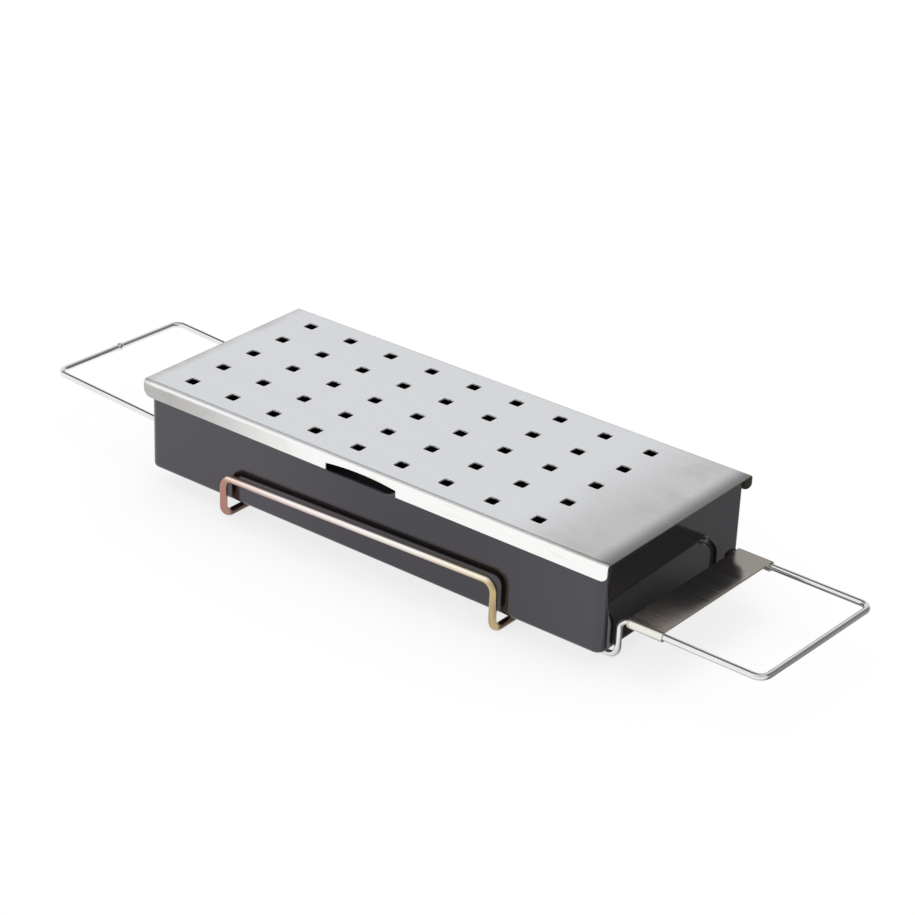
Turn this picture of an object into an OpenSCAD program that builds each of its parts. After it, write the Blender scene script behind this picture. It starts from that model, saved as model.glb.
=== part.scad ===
// Smoker box: an enamelled steel tray under a loose perforated lid, in a cradle of two welded wire loops.
// The length runs along X, the handle with the grip plate is at +X, and the ground is at z = 0.

/* [Tray] */
// Length of the tray outside
tray_l = 260; // [220:1:320]
// Width of the tray outside
tray_w = 107.5; // [100:0.5:140]
// Height of the tray from its floor edge to its rim
tray_h = 44.2; // [34:0.1:70]
// Thickness of the tray's sheet
tray_t = 1; // [0.6:0.1:1.5]
// Outside radius of the tray's upright corners
tray_corner_r = 4.5; // [4:0.1:8]
// Outside radius between the walls and the floor
tray_edge_r = 2; // [1.8:0.1:3]
// Depth of the panel pressed down in the floor
panel_drop = 1.5; // [0.5:0.1:3]
// Width of the raised floor border round the panel
panel_inset = 6; // [5:0.5:12]
// Corner radius of the floor panel
panel_corner_r = 6; // [3:0.5:15]

/* [Finger recess] */
// Depth of the recess in each long wall, at the rim
recess_depth = 5.5; // [2:0.1:6]
// Height of the recess below the rim
recess_h = 9.7; // [6:0.1:14]
// Straight length in the middle of the recess
recess_straight = 28; // [8:1:36]
// Distance of the recesses from the middle towards the plain end
recess_shift = 4; // [0:0.5:10]

/* [Lid] */
// Thickness of the lid's sheet
lid_t = 0.8; // [0.5:0.1:1.2]
// Clearance between the rim and the lid above it
lid_gap = 0.2; // [0.1:0.05:0.5]
// Clearance between a long wall and the lid's flange
lid_side_gap = 0.95; // [0.5:0.05:2]
// Overhang of the lid past each end of the tray
lid_over_end = 2; // [0:0.5:5]
// Height of the flanges, with the sheet on top
flange_h = 8.4; // [7:0.1:14]
// Outside radius of the bends above the flanges
lid_bend_r = 2; // [1.5:0.1:3]
// Radius of the flanges' lower corners
flange_corner_r = 4; // [1:0.5:4.5]
// Length of the notch in the middle of each flange
notch_l = 40; // [20:1:60]
// Height of the notch at its ends
notch_h = 3.2; // [1:0.1:4]
// Extra height of the notch in its middle
notch_arch = 1.4; // [0.4:0.1:1.8]
// Distance of the notches from the middle towards the plain end
notch_shift = 1; // [0:0.5:5]

/* [Smoke holes] */
// Side of one square hole
hole_side = 5.8; // [3:0.1:9]
// Columns of holes along the lid
hole_columns = 9; // [3:1:9]
// Rows of holes across the lid
hole_rows = 5; // [1:1:5]
// Distance between columns
hole_pitch_x = 25; // [12:0.5:25]
// Distance between rows
hole_pitch_y = 21; // [12:0.5:22]
// Distance from the lid's plain end to the first column
hole_margin = 18.5; // [8:0.5:20]

/* [Rail loop] */
// Diameter of the rail loop's wire
rail_wire_d = 3.6; // [3:0.1:5]
// Distance between the legs of a rail, centre to centre
rail_l = 156; // [100:1:200]
// Clearance between a long wall and the rail beside it
rail_gap = 2.25; // [1.75:0.05:4]
// Height of the rails above the cross wires at the plain end
rail_rise_plain = 20; // [14:0.5:30]
// Height of the rails above the cross wires at the plate end
rail_rise_plate = 24; // [14:0.5:30]
// Bend radius of the rail wire, on its centre line
rail_bend_r = 5.5; // [3:0.1:6]
// Distance of the loop from the middle towards the plain end
rail_shift = 1.8; // [0:0.1:5]

/* [Handle loop] */
// Diameter of the handle loop's wire
handle_wire_d = 3; // [2.5:0.1:4]
// Distance between the two long wires, centre to centre
handle_w = 81.4; // [60:0.2:92]
// Clearance between each end of the tray and the risers, on the middle plane
riser_gap = 1.4; // [1.2:0.1:3]
// Height of the handles above the long wires
handle_rise = 18.6; // [12:0.1:30]
// Reach of a handle from its risers to its end bar
handle_reach = 72.6; // [50:0.1:100]
// Extra height of the plain handle at its end bar
plain_tip_rise = 3.2; // [0:0.1:8]
// Turn of the handle loop in plan, where it was welded a little askew
handle_turn = 1; // [0:0.1:1]
// Shift of the handle loop towards the front rail, from the same welding
handle_shift = 0.8; // [0:0.1:1.5]
// Bend radius at the risers, on the centre line
riser_bend_r = 4.5; // [2.5:0.1:5]
// Bend radius at the ends of the end bars, on the centre line
bar_bend_r = 5; // [3:0.1:8]
// Distance by which each end bar lies out of square at both its ends
bar_skew = 0.9; // [0:0.1:2]
// Clearance between the long wires and the tray's floor panel
seat_gap = 0.3; // [0.1:0.05:0.6]

/* [Grip plate] */
// Width of the grip plate along the handle
plate_w = 17.7; // [10:0.1:40]
// Distance from the risers to the grip plate
plate_offset = 5; // [5:0.1:20]
// Thickness of the grip plate's sheet
plate_t = 0.8; // [0.5:0.1:1.2]
// Clearance between a wire and the hem curled round it
hem_gap = 0.1; // [0.05:0.05:0.3]
// Angle through which each hem wraps its wire
hem_wrap = 250; // [180:5:300]

/* [Welds] */
// Weld metal between two wires where they cross
weld_gap = 0.1; // [0.05:0.05:0.3]
// Radius of the bead round each crossing
cross_bead_r = 2.3; // [1.8:0.1:3]
// Height of a butt weld's bead above its wire, in its middle
butt_bead_h = 0.5; // [0.3:0.1:0.8]
// Height of the bead at its ends
butt_bead_lip = 0.2; // [0.1:0.05:0.25]
// Length of a butt weld's bead along its wire
butt_bead_l = 3; // [2:0.2:5]
// Place of the plain handle's butt weld, from the middle of its end bar towards the back
handle_weld_y = 0.4; // [0:0.1:20]

/* [Hidden] */
$fn = 48;
// How far a cut runs past the face it opens
cut = 1;
// How much thicker a wire is in its bends than in the straights that run into them
bend_swell = 0.02;
// How far a straight wire runs into the bend at each of its ends
bend_lap = 0.1;

// Heights of the wires' centres, from the ground up
cross_wire_z = rail_wire_d / 2;
long_wire_z = rail_wire_d + weld_gap + handle_wire_d / 2;
handle_z = long_wire_z + handle_rise;
plain_tip_z = handle_z + plain_tip_rise;
rail_plain_z = cross_wire_z + rail_rise_plain;
rail_plate_z = cross_wire_z + rail_rise_plate;

// Places of the wires' centres in plan
cross_wire_x = rail_l / 2;
rail_y = tray_w / 2 + rail_gap + rail_wire_d / 2;
long_wire_y = handle_w / 2;
riser_x = tray_l / 2 + riser_gap + handle_wire_d / 2;
bar_x = riser_x + handle_reach;

// Heights of the tray and the lid
panel_z = long_wire_z + handle_wire_d / 2 + seat_gap;
floor_z = panel_z + panel_drop;
rim_z = floor_z + tray_h;
lid_top_z = rim_z + lid_gap + lid_t;
flange_z = lid_top_z - flange_h;

lid_l = tray_l + 2 * lid_over_end;
lid_w = tray_w + 2 * (lid_side_gap + lid_t);

// Capsule that presses the finger recess, through its edge on the wall and its depth at the rim
recess_r = (recess_h * recess_h + recess_depth * recess_depth) / (2 * recess_depth);
recess_axis_y = tray_w / 2 + recess_r - recess_depth;

// Circle of the notch's arched top, through both its ends
notch_r = (notch_l * notch_l / 4 + notch_arch * notch_arch) / (2 * notch_arch);

// Hem of the grip plate, round the wire
hem_r = handle_wire_d / 2 + hem_gap;
plate_x = riser_x + plate_offset;

function unit(v) = v / norm(v);

// Place across the part where a long wire, y from the handle loop's middle, crosses the plane at x
function long_wire_at(x, y) = (y - x * sin(handle_turn)) / cos(handle_turn) - handle_shift;

// Puts what is drawn at place o, with its own axes along u, v and w
module in_frame(o, u, v, w) {
  multmatrix([[u.x, v.x, w.x, o.x], [u.y, v.y, w.y, o.y], [u.z, v.z, w.z, o.z], [0, 0, 0, 1]]) children();
}

// Turns and shifts the handle loop, and what sits on it, as it was welded
module as_welded() {
  translate([0, -handle_shift, 0])
    rotate([0, 0, -handle_turn])
      children();
}

// One closed loop of round wire through the corners, each corner a bend of its own radius
module wire_loop(corners, radii, d) {
  n = len(corners);
  for (i = [0 : n - 1]) {
    here = corners[i];
    after = corners[(i + 1) % n];
    beyond = corners[(i + 2) % n];
    a = unit(here - corners[(i + n - 1) % n]);
    b = unit(after - here);
    angle = acos(a * b);
    next_angle = acos(b * unit(beyond - after));
    inward = unit(b - (a * b) * a);
    normal = cross(a, inward);
    setback = radii[i] * tan(angle / 2);
    next_setback = radii[(i + 1) % n] * tan(next_angle / 2);
    in_frame(here - setback * a + radii[i] * inward, -inward, a, normal)
      rotate_extrude(angle = angle)
        translate([radii[i], 0])
          circle(d = d + bend_swell);
    in_frame(here + (setback - bend_lap) * b, normal, cross(b, normal), b)
      cylinder(d = d, h = norm(after - here) - setback - next_setback + 2 * bend_lap);
  }
}

// Flat rectangle with round corners, centred
module round_rect(l, w, r) {
  square([l - 2 * r, w], center = true);
  square([l, w - 2 * r], center = true);
  for (x = [-1, 1], y = [-1, 1])
    translate([x * (l / 2 - r), y * (w / 2 - r)])
      circle(r = r);
}

// Section of a tray wall: x runs outwards from the corner's axis, y runs up from the floor's edge
module wall_section() {
  translate([tray_corner_r - tray_t, tray_edge_r])
    square([tray_t, tray_h - tray_edge_r]);
  square([tray_corner_r - tray_edge_r, tray_t]);
  translate([tray_corner_r - tray_edge_r, tray_edge_r])
    intersection() {
      difference() {
        circle(r = tray_edge_r);
        circle(r = tray_edge_r - tray_t);
      }
      translate([0, -tray_edge_r])
        square(tray_edge_r);
    }
}

// Straight wall of length l that faces +X, its corner axis at x = 0
module straight_wall(l) {
  translate([0, l / 2, 0])
    rotate([90, 0, 0])
      linear_extrude(l)
        wall_section();
}

// Pressed floor and walls, before the finger recesses
module tray_shell() {
  half_l = tray_l / 2 - tray_corner_r;
  half_w = tray_w / 2 - tray_corner_r;
  difference() {
    union() {
      translate([-half_l, -half_w, floor_z])
        cube([2 * half_l, 2 * half_w, tray_t]);
      translate([0, 0, panel_z])
        linear_extrude(panel_drop + tray_t)
          round_rect(tray_l - 2 * panel_inset, tray_w - 2 * panel_inset, panel_corner_r);
    }
    translate([0, 0, panel_z + tray_t])
      linear_extrude(panel_drop + cut)
        round_rect(
          tray_l - 2 * (panel_inset + tray_t), tray_w - 2 * (panel_inset + tray_t), panel_corner_r - tray_t
        );
  }
  for (side = [0, 180])
    rotate([0, 0, side]) {
      translate([half_l, 0, floor_z])
        straight_wall(2 * half_w);
      rotate([0, 0, 90])
        translate([half_w, 0, floor_z])
          straight_wall(2 * half_l);
      translate([half_l, half_w, floor_z])
        rotate_extrude(angle = 90)
          wall_section();
      translate([-half_l, half_w, floor_z])
        rotate_extrude(angle = 90, start = 90)
          wall_section();
    }
}

// Capsule along X at the rim of the wall that faces +Y
module recess_capsule(r) {
  translate([-recess_shift, recess_axis_y, rim_z]) {
    rotate([0, 90, 0])
      cylinder(r = r, h = recess_straight, center = true);
    for (x = [-1, 1])
      translate([x * recess_straight / 2, 0, 0])
        sphere(r = r);
  }
}

// Pressed steel tray with a finger recess in each long wall
module tray() {
  bump_r = recess_r + tray_t;
  color("#1b1c1f")
    difference() {
      union() {
        tray_shell();
        for (side = [0, 1])
          mirror([0, side, 0])
            intersection() {
              recess_capsule(bump_r);
              translate([-bump_r - recess_straight / 2 - recess_shift, 0, rim_z - bump_r])
                cube([2 * bump_r + recess_straight, tray_w / 2 - tray_t / 2, bump_r]);
            }
      }
      for (side = [0, 1])
        mirror([0, side, 0])
          recess_capsule(recess_r);
    }
}

// Quarter bend of the lid's sheet on the +Y side, along X
module lid_bend() {
  translate([-lid_l / 2, lid_w / 2 - lid_bend_r, lid_top_z - lid_bend_r])
    rotate([90, 0, 90])
      rotate_extrude(angle = 90)
        translate([lid_bend_r - lid_t, 0])
          square([lid_t, lid_l]);
}

// Cutter for one lower corner of the flanges, at the +X end
module flange_corner_cut() {
  translate([lid_l / 2 - flange_corner_r, 0, flange_z + flange_corner_r])
    rotate([90, 0, 0])
      difference() {
        translate([0, -flange_corner_r - cut, -lid_w / 2 - cut])
          cube([flange_corner_r + cut, flange_corner_r + cut, lid_w + 2 * cut]);
        cylinder(r = flange_corner_r, h = lid_w + 4 * cut, center = true);
      }
}

// Cutter for the finger notches in both flanges, with an arched top
module notch_cut() {
  through = lid_w + 2 * cut;
  translate([-notch_l / 2 - notch_shift, -through / 2, flange_z - cut])
    cube([notch_l, through, notch_h + cut]);
  intersection() {
    translate([-notch_l / 2 - notch_shift, -through / 2, flange_z])
      cube([notch_l, through, notch_h + notch_arch + cut]);
    translate([-notch_shift, 0, flange_z + notch_h + notch_arch - notch_r])
      rotate([90, 0, 0])
        cylinder(r = notch_r, h = through, center = true, $fn = 360);
  }
}

// Sheet lid: a shallow channel with square smoke holes
module lid() {
  color("#c9cacb")
    difference() {
      union() {
        translate([-lid_l / 2, -lid_w / 2 + lid_bend_r, lid_top_z - lid_t])
          cube([lid_l, lid_w - 2 * lid_bend_r, lid_t]);
        for (side = [0, 180])
          rotate([0, 0, side]) {
            lid_bend();
            translate([-lid_l / 2, lid_w / 2 - lid_t, flange_z])
              cube([lid_l, lid_t, flange_h - lid_bend_r]);
          }
      }
      for (side = [0, 180])
        rotate([0, 0, side])
          flange_corner_cut();
      notch_cut();
      for (i = [0 : hole_columns - 1], j = [0 : hole_rows - 1])
        translate([
          -lid_l / 2 + hole_margin + i * hole_pitch_x, (j - (hole_rows - 1) / 2) * hole_pitch_y, lid_top_z
        ])
          cube([hole_side, hole_side, 2 * lid_t + cut], center = true);
    }
}

// Closed loop that runs under the tray and forms both handles
module handle_loop() {
  y = long_wire_y;
  corners = [
    [-riser_x, -y, long_wire_z], [riser_x, -y, long_wire_z],
    [riser_x, -y, handle_z], [bar_x - bar_skew, -y, handle_z],
    [bar_x + bar_skew, y, handle_z], [riser_x, y, handle_z],
    [riser_x, y, long_wire_z], [-riser_x, y, long_wire_z],
    [-riser_x, y, handle_z], [-bar_x + bar_skew, y, plain_tip_z],
    [-bar_x - bar_skew, -y, plain_tip_z], [-riser_x, -y, handle_z]
  ];
  r = riser_bend_r;
  radii = [r, r, r, bar_bend_r, bar_bend_r, r, r, r, r, bar_bend_r, bar_bend_r, r];
  color("#b9bbbd")
    as_welded()
      wire_loop(corners, radii, handle_wire_d);
}

// Closed loop that crosses under the tray and forms both side rails
module rail_loop() {
  x = cross_wire_x;
  corners = [
    [-x, -rail_y, cross_wire_z], [-x, -rail_y, rail_plain_z],
    [x, -rail_y, rail_plate_z], [x, -rail_y, cross_wire_z],
    [x, rail_y, cross_wire_z], [x, rail_y, rail_plate_z],
    [-x, rail_y, rail_plain_z], [-x, rail_y, cross_wire_z]
  ];
  color("#b08a6e")
    translate([-rail_shift, 0, 0])
      wire_loop(corners, [for (corner = corners) rail_bend_r], rail_wire_d);
}

// Hem that curls outwards and under the wire on the +Y side
module hem() {
  translate([plate_x, long_wire_y, handle_z])
    rotate([90, 0, 90])
      rotate_extrude(angle = hem_wrap, start = 90 - hem_wrap)
        translate([hem_r, 0])
          square([plate_t, plate_w]);
}

// Sheet plate held by its two hems on the wires of one handle
module grip_plate() {
  color("#8d8c8a")
    as_welded() {
      translate([plate_x, -long_wire_y, handle_z + hem_r])
        cube([plate_w, 2 * long_wire_y, plate_t]);
      hem();
      mirror([0, 1, 0])
        hem();
    }
}

// Beads where the two loops cross under the tray
module cross_welds() {
  bead_z = rail_wire_d + weld_gap / 2;
  reach = 4 * cross_bead_r;
  color("#8a7a6c")
    for (x = [-cross_wire_x - rail_shift, cross_wire_x - rail_shift], y = [-long_wire_y, long_wire_y])
      translate([x, long_wire_at(x, y), 0])
        difference() {
          translate([0, 0, bead_z])
            sphere(r = cross_bead_r);
          translate([0, 0, cross_wire_z])
            rotate([90, 0, 0])
              cylinder(d = rail_wire_d, h = reach, center = true);
          translate([0, 0, long_wire_z])
            rotate([0, 90, -handle_turn])
              cylinder(d = handle_wire_d, h = reach, center = true);
        }
}

// Low bead of a butt weld round a wire that runs along Z
module butt_bead(wire_d) {
  crown = butt_bead_h - butt_bead_lip;
  bead_r = (butt_bead_l * butt_bead_l / 4 + crown * crown) / (2 * crown);
  rotate_extrude()
    intersection() {
      translate([wire_d / 2 + butt_bead_h - bead_r, 0])
        circle(r = bead_r);
      translate([wire_d / 2, -butt_bead_l / 2])
        square([butt_bead_h, butt_bead_l]);
    }
}

// Butt weld that closes the handle loop, on the plain handle's end bar
module handle_loop_weld() {
  color("#a8a9ab")
    as_welded()
      translate([-bar_x + bar_skew * handle_weld_y / long_wire_y, handle_weld_y, plain_tip_z])
        rotate([90, 0, -atan2(bar_skew, long_wire_y)])
          butt_bead(handle_wire_d);
}

// Butt weld that closes the rail loop, in the middle of the back rail
module rail_loop_weld() {
  slope = atan2(rail_rise_plate - rail_rise_plain, rail_l);
  color("#9c7c66")
    translate([-rail_shift, rail_y, (rail_plain_z + rail_plate_z) / 2])
      rotate([0, 90 - slope, 0])
        butt_bead(rail_wire_d);
}

tray();
lid();
handle_loop();
rail_loop();
grip_plate();
cross_welds();
handle_loop_weld();
rail_loop_weld();
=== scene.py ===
"""Looks of the smoker box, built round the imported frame.

Lengths in this file are millimetres, as in the part's source. Meshes are made in metres.
The length runs along X, the handle with the grip plate is at +X, and the ground is at z = 0.
"""

import math

import bmesh
import bpy
from mathutils import Matrix, Vector, noise


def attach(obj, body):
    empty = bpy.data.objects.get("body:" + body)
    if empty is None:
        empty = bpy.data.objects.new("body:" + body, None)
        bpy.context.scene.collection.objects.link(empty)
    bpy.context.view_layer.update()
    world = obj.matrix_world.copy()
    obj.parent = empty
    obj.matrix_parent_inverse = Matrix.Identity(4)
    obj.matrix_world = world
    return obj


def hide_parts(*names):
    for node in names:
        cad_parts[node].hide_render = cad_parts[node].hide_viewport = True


MM = 0.001

# Tray
TRAY_L, TRAY_W, TRAY_H, TRAY_T = 260.0, 107.5, 44.2, 1.0
TRAY_CORNER_R, TRAY_LEAST_R, TRAY_EDGE_R = 4.5, 0.6, 2.0
PANEL_DROP, PANEL_INSET, PANEL_SLOPE = 1.5, 6.0, 1.6
FLOOR_Z = 8.5
RIM_Z = FLOOR_Z + TRAY_H

# Finger recess in the long walls
RECESS_DEPTH, RECESS_H, RECESS_STRAIGHT = 5.5, 9.7, 28.0
RECESS_R = (RECESS_H**2 + RECESS_DEPTH**2) / (2 * RECESS_DEPTH)
RECESS_AXIS_Y = TRAY_W / 2 + RECESS_R - RECESS_DEPTH
RECESS_SHIFT = 4.0
RECESS_SOFT = 0.35  # blend between the wall and the recess
RECESS_FOOT_Z = RIM_Z - 13  # below this the walls are plain

# Lid
LID_L, LID_W, LID_T, LID_TOP_Z = 264.0, 111.0, 0.8, 53.7
FLANGE_H, LID_BEND_R, FLANGE_CORNER_R = 8.4, 2.0, 4.0
NOTCH_L, NOTCH_H, NOTCH_ARCH, NOTCH_SHIFT = 40.0, 3.2, 1.4, 1.0
HOLE_SIDE, HOLE_POWER = 5.8, 9.0  # the power sets how square a hole is
HOLE_COLUMNS, HOLE_ROWS, PITCH_X, PITCH_Y = 9, 5, 25.0, 21.0
HOLE_MARGIN = 18.5
FIRST_COLUMN_X = -LID_L / 2 + HOLE_MARGIN

# Rail loop
RAIL_D, RAIL_X, RAIL_Y = 3.6, 78.0, 57.8
RAIL_Z, RAIL_PLAIN_Z, RAIL_PLATE_Z, RAIL_BEND_R = 1.8, 21.8, 25.8, 5.5
RAIL_SHIFT = 1.8

# Handle loop, in its own frame before it is turned and shifted
WIRE_D, WIRE_Y, WIRE_Z = 3.0, 40.7, 5.2
RISER_X, BAR_X, HANDLE_Z, TIP_Z = 132.9, 205.5, 23.8, 27.0
RISER_BEND_R, BAR_BEND_R, BAR_SKEW = 4.5, 5.0, 0.9
HANDLE_TURN, HANDLE_SHIFT = 1.0, 0.8

# Both wires
WIRE_SIDES, WIRE_WOBBLE = 28, 0.004

# Grip plate
PLATE_X, PLATE_W, PLATE_T = 137.9, 17.7, 0.8
HEM_R, HEM_WRAP, HEM_STEPS = 1.6, 250.0, 30

# Welds
CROSS_BEAD_R, WELD_GAP = 2.3, 0.1
BUTT_BEAD_H, BUTT_BEAD_L, HANDLE_WELD_Y = 0.5, 3.0, 0.4

# Cut edges
TRAY_RIM_R, SHEET_EDGE_R = 0.35, 0.16

# Floor and world, the side in metres
FLOOR_SIDE, FLOOR_GREY, FLOOR_GLOW = 12.0, 0.27, 0.77
EVEN_LIGHT = 0.8


def make_piece(name, vertices, faces, material, body, node):
    """An object of the given mesh, in millimetres, that stands for a CAD node."""
    mesh = bpy.data.meshes.new(name)
    mesh.from_pydata([Vector(v) * MM for v in vertices], [], faces)
    mesh.validate()
    mesh.polygons.foreach_set("use_smooth", [True] * len(mesh.polygons))
    mesh.materials.append(material)
    piece = bpy.data.objects.new(name, mesh)
    bpy.context.scene.collection.objects.link(piece)
    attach(piece, body)
    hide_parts(node)
    return piece


def weld_and_orient(piece):
    """Merges doubled vertices and turns the faces of a sheet so that its topmost face looks up."""
    bm = bmesh.new()
    bm.from_mesh(piece.data)
    bmesh.ops.remove_doubles(bm, verts=bm.verts, dist=0.002 * MM)
    bmesh.ops.recalc_face_normals(bm, faces=bm.faces)
    top = max(bm.faces, key=lambda f: (f.calc_center_median().z, f.calc_area()))
    if top.normal.z <= 0:
        bmesh.ops.reverse_faces(bm, faces=bm.faces)
    bm.to_mesh(piece.data)
    bm.free()


def map_brushing(piece):
    """Lays a map whose first direction is X, the way that the sheet is brushed.
    It is unrolled over the bends."""
    layer = piece.data.uv_layers.new(name="brushing")
    top = max(v.co.z for v in piece.data.vertices)
    for loop in piece.data.loops:
        p = piece.data.vertices[loop.vertex_index].co
        layer.data[loop.index].uv = (p.x, p.y + math.copysign(top - p.z, p.y))


def sheet_metal(piece, thickness, edge_r, angle=40):
    """Gives a surface its sheet thickness, inwards, and rounds the cut edges."""
    solid = piece.modifiers.new("thickness", "SOLIDIFY")
    solid.thickness = thickness * MM
    solid.offset = -1
    solid.use_even_offset = True
    bevel = piece.modifiers.new("edges", "BEVEL")
    bevel.width = edge_r * MM
    bevel.segments = 3
    bevel.limit_method = "ANGLE"
    bevel.angle_limit = math.radians(angle)
    piece.modifiers.new("shading", "WEIGHTED_NORMAL")


def rounded_loop(corners, radii):
    """Points along a closed wire through the corners, each corner an arc of its own radius."""
    steps, spacing = 12, 6.0
    corners = [Vector(c) for c in corners]
    count = len(corners)
    arcs = []
    for i, here in enumerate(corners):
        a = (here - corners[i - 1]).normalized()
        b = (corners[(i + 1) % count] - here).normalized()
        angle = a.angle(b)
        setback = radii[i] * math.tan(angle / 2)
        start = here - setback * a
        centre = here + (b - a).normalized() * (radii[i] / math.cos(angle / 2))
        u = (start - centre).normalized()
        v = (a - a.dot(u) * u).normalized()
        arcs.append([
            centre + radii[i] * (math.cos(angle * k / steps) * u + math.sin(angle * k / steps) * v)
            for k in range(steps + 1)
        ])
    points = []
    for i, arc in enumerate(arcs):
        points += arc
        after = arcs[(i + 1) % count][0]
        gap = (after - arc[-1]).length
        parts = max(1, round(gap / spacing))
        points += [arc[-1].lerp(after, k / parts) for k in range(1, parts)]
    return points


def sweep(points, radius, seed):
    """Tube round a closed row of points. It thins a little here and there, as drawn wire does."""
    count = len(points)
    tangents = [(points[(i + 1) % count] - points[i - 1]).normalized() for i in range(count)]
    normals = [tangents[0].orthogonal().normalized()]
    for i in range(1, count):
        turn = tangents[i - 1].rotation_difference(tangents[i])
        normals.append((turn @ normals[-1]).normalized())
    closing = tangents[-1].rotation_difference(tangents[0]) @ normals[-1]
    twist = math.atan2(closing.cross(normals[0]).dot(tangents[0]), closing.dot(normals[0]))
    vertices, faces = [], []
    for i, point in enumerate(points):
        spin = Matrix.Rotation(twist * i / count, 3, tangents[i])
        across = spin @ normals[i]
        beside = tangents[i].cross(across)
        thinning = 0.5 + 0.5 * noise.noise(point * 0.06 + Vector((seed, 0, 0)))
        r = radius * (1 - WIRE_WOBBLE * thinning)
        for k in range(WIRE_SIDES):
            turn = 2 * math.pi * k / WIRE_SIDES
            vertices.append(point + r * (math.cos(turn) * across + math.sin(turn) * beside))
    for i in range(count):
        here, ahead = i * WIRE_SIDES, (i + 1) % count * WIRE_SIDES
        for k in range(WIRE_SIDES):
            after = (k + 1) % WIRE_SIDES
            faces.append((here + k, here + after, ahead + after, ahead + k))
    return vertices, faces


def as_welded(vertices):
    """Turns and shifts what belongs to the handle loop, as it was welded a little askew."""
    turn = Matrix.Rotation(-math.radians(HANDLE_TURN), 3, "Z")
    return [turn @ Vector(v) - Vector((0, HANDLE_SHIFT, 0)) for v in vertices]


def even(low, high, parts):
    """Even values from low to high, both included."""
    return [low + (high - low) * k / parts for k in range(parts + 1)]


def spread(low, high, step):
    """Even values about a step apart from low to high, both included."""
    return even(low, high, max(1, round((high - low) / step)))


def tray_plan(inset):
    """Points round the tray at an inset, as (x, y, side), where side is the long wall's sign or 0.
    Every inset has the same number of points, in the same order."""
    l, w = TRAY_L / 2 - inset, TRAY_W / 2 - inset
    r = max(TRAY_CORNER_R - inset, TRAY_LEAST_R)
    near = RECESS_STRAIGHT / 2 + RECESS_R
    flat = l - r
    low, high = -near - RECESS_SHIFT, near - RECESS_SHIFT
    plain_parts, recess_parts = 12, 80
    columns = even(-flat, low, plain_parts) + even(low, high, recess_parts)[1:]
    columns += even(high, flat, plain_parts)[1:]
    rows = even(-(w - r), w - r, plain_parts)
    points = [(x, -w, -1) for x in columns]
    points += arc_points(l - r, -w + r, r, -90)
    points += [(l, y, 0) for y in rows]
    points += arc_points(l - r, w - r, r, 0)
    points += [(x, w, 1) for x in reversed(columns)]
    points += arc_points(-l + r, w - r, r, 90)
    points += [(-l, y, 0) for y in reversed(rows)]
    points += arc_points(-l + r, -w + r, r, 180)
    return points


def arc_points(x, y, r, start):
    """Points inside a quarter arc round x and y from the angle start on, both its ends left out."""
    turns = [math.radians(angle) for angle in even(start, start + 90, 8)[1:-1]]
    return [(x + r * math.cos(t), y + r * math.sin(t), 0) for t in turns]


def recessed(x, y, z):
    """Distance of a long wall from the middle, where the capsule of the recess presses it in."""
    dx = max(abs(x + RECESS_SHIFT) - RECESS_STRAIGHT / 2, 0)
    reach = RECESS_R**2 - dx**2 - (RIM_Z - z) ** 2
    pressed = RECESS_AXIS_Y - math.sqrt(reach) if reach > 0 else RECESS_AXIS_Y
    h = min(max(0.5 + 0.5 * (y - pressed) / RECESS_SOFT, 0), 1)
    return y + (pressed - y) * h - RECESS_SOFT * h * (1 - h)


def floor_faces(first):
    """Flat faces that close the last ring, whose first vertex has the index first."""
    plan = tray_plan(0)
    front = sum(side == -1 for _, _, side in plan)
    back = next(k for k, (_, _, side) in enumerate(plan) if side == 1)
    last = first + back + front - 1
    faces = [[first + k, first + k + 1, last - k - 1, last - k] for k in range(front - 1)]
    faces.append([first + k for k in range(front - 1, back + 1)])
    faces.append([first + k for k in range(back + front - 1, len(plan))] + [first])
    return faces


def tray_levels():
    """Insets and heights of the tray's rings: down the wall, round its foot and down to the panel."""
    levels = [(0, z) for z in reversed(spread(RECESS_FOOT_Z, RIM_Z, 0.5))]
    levels += [(0, z) for z in reversed(spread(FLOOR_Z + TRAY_EDGE_R, RECESS_FOOT_Z, 6)[:-1])]
    for k in range(1, 7):
        t = math.radians(15 * k)
        levels.append((TRAY_EDGE_R * (1 - math.cos(t)), FLOOR_Z + TRAY_EDGE_R * (1 - math.sin(t))))
    levels.append((PANEL_INSET - 1, FLOOR_Z))
    for t in even(0, 1, 6):
        drop = t * t * (3 - 2 * t)
        levels.append((PANEL_INSET + PANEL_SLOPE * t, FLOOR_Z - PANEL_DROP * drop))
    levels.append((PANEL_INSET + 4, FLOOR_Z - PANEL_DROP))
    return levels


def build_tray(material):
    """Pressed tray: one surface from the rim down to the floor panel, thickened inwards."""
    levels = tray_levels()
    vertices, faces = [], []
    for inset, z in levels:
        ring = []
        for x, y, side in tray_plan(inset):
            if side and z > RECESS_FOOT_Z:
                y = side * recessed(x, abs(y), z)
            ring.append((x, y, z))
        vertices += ring
    count = len(tray_plan(0))
    for i in range(len(levels) - 1):
        for k in range(count):
            a, b = i * count + k, i * count + (k + 1) % count
            faces.append((a, b, b + count, a + count))
    faces += floor_faces((len(levels) - 1) * count)
    piece = make_piece("tray_shell", vertices, faces, material, "tray", "tray")
    orient_outwards(piece)
    sheet_metal(piece, TRAY_T, TRAY_RIM_R, 60)


def orient_outwards(piece):
    """Turns the faces of an open body so that they face away from its middle."""
    bm = bmesh.new()
    bm.from_mesh(piece.data)
    bmesh.ops.recalc_face_normals(bm, faces=bm.faces)
    low = min(bm.faces, key=lambda f: f.calc_center_median().z)
    if low.normal.z > 0:
        bmesh.ops.reverse_faces(bm, faces=bm.faces)
    bm.to_mesh(piece.data)
    bm.free()


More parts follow.
